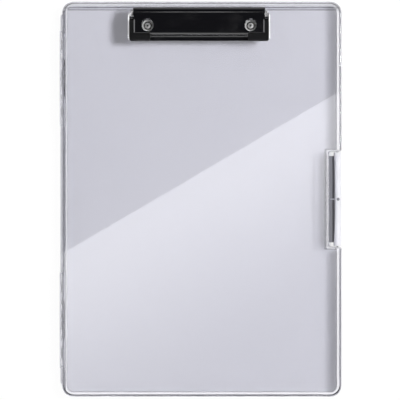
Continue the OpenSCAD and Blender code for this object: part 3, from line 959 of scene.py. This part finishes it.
@dataclass
class Studio:
    """A pale table under soft light, with the dark ceiling and the bright screen that glossy faces mirror."""

    floor_size: float = 12.0
    floor_drop: float = 0.4 * MM
    floor_colour: Colour = (0.86, 0.86, 0.87)
    direct_glow: float = 0.96
    through_glow: float = 0.22
    under_case: tuple[float, float] = (112.0 * MM, 160.0 * MM)
    fill: float = 0.70
    horizon_low: float = 0.05
    horizon_high: float = 0.45
    key_power: float = 2.7
    key_direction: Colour = (0.414, 0.11, 1.0)
    key_distance: float = 2.2
    key_size: float = 0.40
    disc_steps: int = 48
    ceiling_height: float = 2.0
    ceiling_size: float = 1.5
    ceiling_glow: float = 0.06
    screen_edge: float = 45.2 * MM
    screen_slope: float = 0.585
    screen_glow: float = 3.6
    screen_fade: float = 0.40
    strip_height: float = 1.5
    strips: tuple[tuple[float, float, float, float, float], ...] = (
        (-0.066, 0.066, 0.54, 0.76, 4.2),
        (-0.8, 0.8, 0.36, 0.95, 0.18),
        (-0.8, 0.8, -3.0, -1.3, 7.0),
        (0.26, 0.70, 0.05, 0.36, 9.0),
    )

    def build(self) -> None:
        """Builds world, floor, lamp, ceiling, screen and strips."""
        self._light_world()
        self._lay_floor()
        self._hang_lamp()
        self._hang_ceiling()
        self._hang_screen()
        self._hang_strips()

    @staticmethod
    def _unscattered(recipe: Recipe) -> Signal:
        """Returns 1 for rays that have met no matt surface yet, and 0 for the rest."""
        depth = recipe.node("ShaderNodeLightPath", output="Diffuse Depth")
        return 1.0 - recipe.node("ShaderNodeMath", {"operation": "MINIMUM"}, {0: depth, 1: 1.0})

    def _light_world(self) -> None:
        """White for what is looked at, mirrored or seen through, and a soft grey fill for the rest."""
        world = bpy.data.worlds.new("studio_air")
        bpy.context.scene.world = world
        recipe = Recipe(world)
        direct = recipe.node("ShaderNodeLightPath", output="Is Camera Ray")
        way = recipe.node("ShaderNodeTexCoord", output="Generated")
        height = recipe.node("ShaderNodeSeparateXYZ", None, {0: way}, output=2)
        horizon = 1.0 - height.smooth(self.horizon_low, self.horizon_high)
        level = direct + (1.0 - direct) * horizon
        backdrop = recipe.node("ShaderNodeBackground", None, {"Color": (1, 1, 1, 1), "Strength": level})
        fill = recipe.node("ShaderNodeBackground", None, {"Color": (1, 1, 1, 1), "Strength": self.fill})
        recipe.finish(
            recipe.node("ShaderNodeMixShader", None, {0: self._unscattered(recipe), 1: fill, 2: backdrop}),
            "ShaderNodeOutputWorld",
        )

    def _lay_floor(self) -> None:
        """A pale matt table that stays white round the object and keeps its shadow."""
        material = bpy.data.materials.new("studio_table")
        recipe = Recipe(material)
        direct, mirrored, through = (
            recipe.node("ShaderNodeLightPath", output=f"Is {ray} Ray")
            for ray in ("Camera", "Glossy", "Transmission")
        )
        outside = direct + mirrored * (1.0 - through)
        open_glow = self._beside_case(recipe).between(self.through_glow, self.direct_glow)
        share = (outside * open_glow + through * self.through_glow) * self._unscattered(recipe)
        matt = recipe.node("ShaderNodeBsdfDiffuse", None, {"Color": (*self.floor_colour, 1.0)})
        glow = recipe.node("ShaderNodeEmission", None, {"Color": (1, 1, 1, 1), "Strength": 1.0})
        recipe.finish(recipe.node("ShaderNodeMixShader", None, {0: share, 1: matt, 2: glow}))
        self._sheet("studio_table", self._square(self.floor_size), -self.floor_drop, material)

    def _beside_case(self, recipe: Recipe) -> Signal:
        """Tells the table beside the case from the table under it.

        Args:
            recipe: the table's material.

        Returns:
            1 beside the case and 0 under it.
        """
        x, y = (
            recipe.node("ShaderNodeMath", {"operation": "ABSOLUTE"}, {
                0: recipe.node("ShaderNodeSeparateXYZ", None, {0: recipe.place()}, output=axis)
            })
            for axis in (0, 1)
        )
        under_x, under_y = (
            1.0 - way.smooth(limit, limit + 3.0 * MM) for way, limit in zip((x, y), self.under_case)
        )
        return 1.0 - under_x * under_y

    def _hang_lamp(self) -> None:
        """One large soft lamp, above and to the right, and its image for the faces that mirror it."""
        towards = Vector(self.key_direction).normalized()
        data = bpy.data.lights.new("studio_lamp", "AREA")
        data.shape = "DISK"
        data.size = self.key_size
        data.energy = self.key_power * math.pi * self.key_distance**2
        lamp = bpy.data.objects.new("studio_lamp", data)
        lamp.location = towards * self.key_distance
        lamp.rotation_mode = "QUATERNION"
        lamp.rotation_quaternion = towards.to_track_quat("Z", "Y")
        lamp.visible_glossy = False
        lamp.visible_transmission = False
        bpy.context.scene.collection.objects.link(lamp)
        radius = self.key_size / 2
        glow = self.key_power * self.key_distance**2 / (math.pi * radius**2)
        disc = [
            (lamp.location.x + radius * math.cos(turn), lamp.location.y + radius * math.sin(turn))
            for turn in (math.tau * step / self.disc_steps for step in range(self.disc_steps))
        ]
        self._hang(Recipe(bpy.data.materials.new("lamp_image")), disc, lamp.location.z, glow)

    def _hang_ceiling(self) -> None:
        """The dark room above."""
        recipe = Recipe(bpy.data.materials.new("dark_room"))
        self._hang(recipe, self._square(self.ceiling_size), self.ceiling_height + 0.02, self.ceiling_glow)

    def _hang_screen(self) -> None:
        """The bright screen, brightest along its straight edge."""
        recipe = Recipe(bpy.data.materials.new("bright_screen"))
        x, y = (
            recipe.node("ShaderNodeSeparateXYZ", None, {0: recipe.place()}, output=axis) for axis in (0, 1)
        )
        across = math.hypot(1.0, self.screen_slope)
        from_edge = (x * self.screen_slope - y + self.screen_edge) * (1.0 / across)
        left = 1.0 - from_edge.smooth(0.0, self.screen_fade)
        half = self.ceiling_size / 2
        corners = [
            (-half, -half),
            (half, -half),
            (half, self.screen_edge + self.screen_slope * half),
            (-half, self.screen_edge - self.screen_slope * half),
        ]
        self._hang(recipe, corners, self.ceiling_height, left**1.5 * self.screen_glow)

    def _hang_strips(self) -> None:
        """The bright strips behind, in front and to the right."""
        for number, (left, right, low, high, glow) in enumerate(self.strips):
            corners = [(left, low), (right, low), (right, high), (left, high)]
            height = self.strip_height + 0.01 * number
            self._hang(Recipe(bpy.data.materials.new(f"bright_strip_{number}")), corners, height, glow)

    def _hang(self, recipe: Recipe, corners: list[tuple[float, float]], height: float, glow: Value) -> None:
        """Hangs a level sheet that only mirrored rays see; the rest, refracted ones too, pass through it.

        Args:
            recipe: the sheet's material.
            corners: its corners from above.
            height: its height.
            glow: how brightly it shines.
        """
        mirrored, through = (
            recipe.node("ShaderNodeLightPath", output=f"Is {ray} Ray") for ray in ("Glossy", "Transmission")
        )
        share = mirrored * (1.0 - through) * self._unscattered(recipe)
        clear = recipe.node("ShaderNodeBsdfTransparent")
        bright = recipe.node("ShaderNodeEmission", None, {"Color": (1, 1, 1, 1), "Strength": glow})
        recipe.finish(recipe.node("ShaderNodeMixShader", None, {0: share, 1: clear, 2: bright}))
        sheet = self._sheet(recipe.owner.name, corners, height, recipe.owner)
        sheet.visible_camera = False
        sheet.visible_diffuse = False
        sheet.visible_shadow = False

    @staticmethod
    def _square(size: float) -> list[tuple[float, float]]:
        """Returns the corners of a square about the origin."""
        half = size / 2
        return [(-half, -half), (half, -half), (half, half), (-half, half)]

    @staticmethod
    def _sheet(
        name: str, corners: list[tuple[float, float]], height: float, material: bpy.types.Material
    ) -> bpy.types.Object:
        """A flat sheet of the studio.

        Args:
            name: the object's name.
            corners: its corners from above.
            height: its height.
            material: its material.

        Returns:
            The object.
        """
        mesh = bpy.data.meshes.new(name)
        mesh.from_pydata([(x, y, height) for x, y in corners], [], [list(range(len(corners)))])
        mesh.materials.append(material)
        sheet = bpy.data.objects.new(name, mesh)
        bpy.context.scene.collection.objects.link(sheet)
        return sheet


@dataclass
class Viewpoint:
    """The camera, straight above the board."""

    centre: tuple[float, float] = (-0.34 * MM, -0.68 * MM)
    lid_top: float = 27.0 * MM
    distance: float = 2.0
    width: float = 0.340

    def build(self) -> None:
        """Places the camera."""
        data = bpy.data.cameras.new("camera")
        data.sensor_fit = "HORIZONTAL"
        data.angle = 2.0 * math.atan(self.width / 2.0 / self.distance)
        data.clip_start = 0.05
        data.clip_end = 60.0
        camera = bpy.data.objects.new("camera", data)
        camera.location = (*self.centre, self.lid_top + self.distance)
        bpy.context.scene.collection.objects.link(camera)
        bpy.context.scene.camera = camera


def main() -> None:
    """Builds the camera, the studio and each sub-assembly."""
    logging.basicConfig(level=logging.INFO, format="%(name)s: %(message)s")
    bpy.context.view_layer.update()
    bpy.context.scene.view_settings.view_transform = "Standard"
    Viewpoint().build()
    Studio().build()
    for assembly in (Case(), SideHinges(), SideLatch(), BoardClip(), Rivets()):
        assembly.build()


if __name__ == "__main__":
    main()
